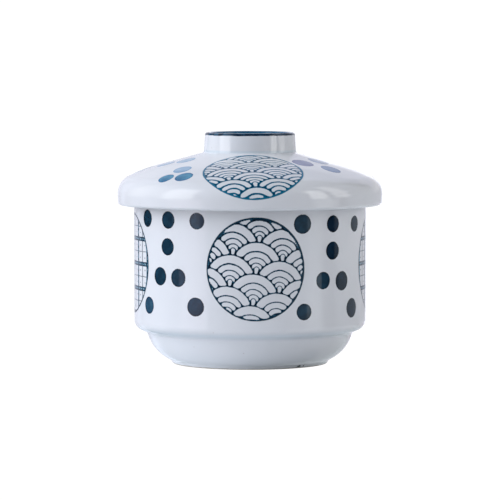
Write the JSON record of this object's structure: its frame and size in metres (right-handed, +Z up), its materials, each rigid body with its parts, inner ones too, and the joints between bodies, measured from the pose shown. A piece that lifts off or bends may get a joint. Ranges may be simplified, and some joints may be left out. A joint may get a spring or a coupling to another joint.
{
  "type": "lidded rice bowl",
  "caption": "Straight-sided glazed porcelain bowl with a stepped foot, and a loose cap lid with a low dome and a hollow ring knob.",
  "frame": {"origin": "centre of the foot ring, on the surface that the bowl stands on", "axes": "+Z up along the axis that both pieces are turned about; -Y towards the side that the print faces"},
  "size_m": [0.12, 0.12, 0.1046],
  "materials": {
    "bowl_glaze": "glossy clear glaze on white porcelain, with dark blue underglaze prints",
    "lid_glaze": "glossy clear glaze on white porcelain, with blue underglaze prints and a blue line on the knob's lip"
  },
  "bodies": {
    "bowl": {"bowl": "bowl_glaze"},
    "lid": {"lid": "lid_glaze"}
  },
  "joints": [
    {"name": "lid_lift", "type": "slide", "parent": "bowl", "child": "lid", "axis": [0, 0, 1], "range_m": [0, 0.055]}
  ]
}
